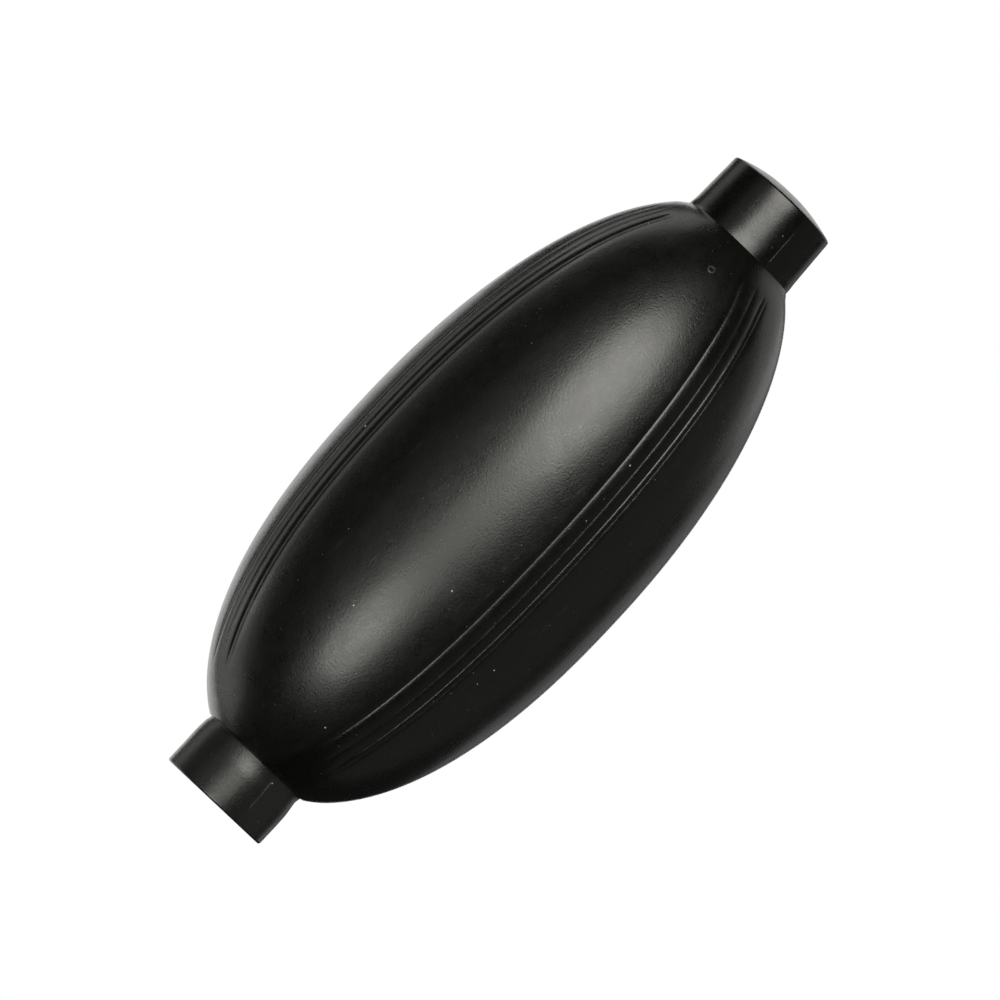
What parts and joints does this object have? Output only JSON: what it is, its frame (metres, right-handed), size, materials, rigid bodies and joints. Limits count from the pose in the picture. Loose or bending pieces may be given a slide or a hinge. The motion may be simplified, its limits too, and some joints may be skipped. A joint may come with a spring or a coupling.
{
  "type": "siphon bulb pump",
  "caption": "Hand-squeezed rubber bulb pump with a neck at each end and a spring-loaded ball valve in each neck, for siphoning and priming.",
  "frame": {"origin": "centre of the flat inlet end face, on which the pump stands", "axes": "+Z along the pump's axis, the way the liquid flows, towards the outlet; -Y through the middle of a group of grip grooves, on the mould's parting line"},
  "size_m": [0.06, 0.06, 0.1489],
  "materials": {
    "bulb_rubber": "moulded black rubber, satin",
    "valve_brass": "turned",
    "seal_rubber": "matt black nitrile",
    "seat_plastic": "machined natural acetal",
    "seat_rubber": "brown fluoroelastomer",
    "ball_steel": "polished stainless steel",
    "spring_steel": "drawn stainless wire",
    "guide_plastic": "moulded natural acetal",
    "cap_plastic": "moulded grey acetal",
    "ring_steel": "phosphated spring steel"
  },
  "bodies": {
    "pump": {"bulb": "bulb_rubber", "inlet_valve_body": "valve_brass", "inlet_body_o_ring": "seal_rubber", "inlet_seat_ring": "seat_plastic", "inlet_seat_o_ring": "seat_rubber", "inlet_spring": "spring_steel", "inlet_ball_guide": "guide_plastic", "inlet_spring_cap": "cap_plastic", "inlet_snap_ring": "ring_steel", "outlet_valve_body": "valve_brass", "outlet_body_o_ring": "seal_rubber", "outlet_seat_ring": "seat_plastic", "outlet_seat_o_ring": "seat_rubber", "outlet_spring": "spring_steel", "outlet_ball_guide": "guide_plastic", "outlet_spring_cap": "cap_plastic", "outlet_snap_ring": "ring_steel"},
    "inlet_closer": {"inlet_ball": "ball_steel"},
    "outlet_closer": {"outlet_ball": "ball_steel"}
  },
  "joints": [
    {"name": "inlet_valve_lift", "type": "slide", "parent": "pump", "child": "inlet_closer", "axis": [0, 0, 1], "range_m": [0, 0.0025], "stiffness_N_per_m": 200, "springref_m": -0.0004, "deforming": ["inlet_spring"]},
    {"name": "outlet_valve_lift", "type": "slide", "parent": "pump", "child": "outlet_closer", "axis": [0, 0, 1], "range_m": [0, 0.0025], "stiffness_N_per_m": 200, "springref_m": -0.0004, "deforming": ["outlet_spring"]}
  ]
}
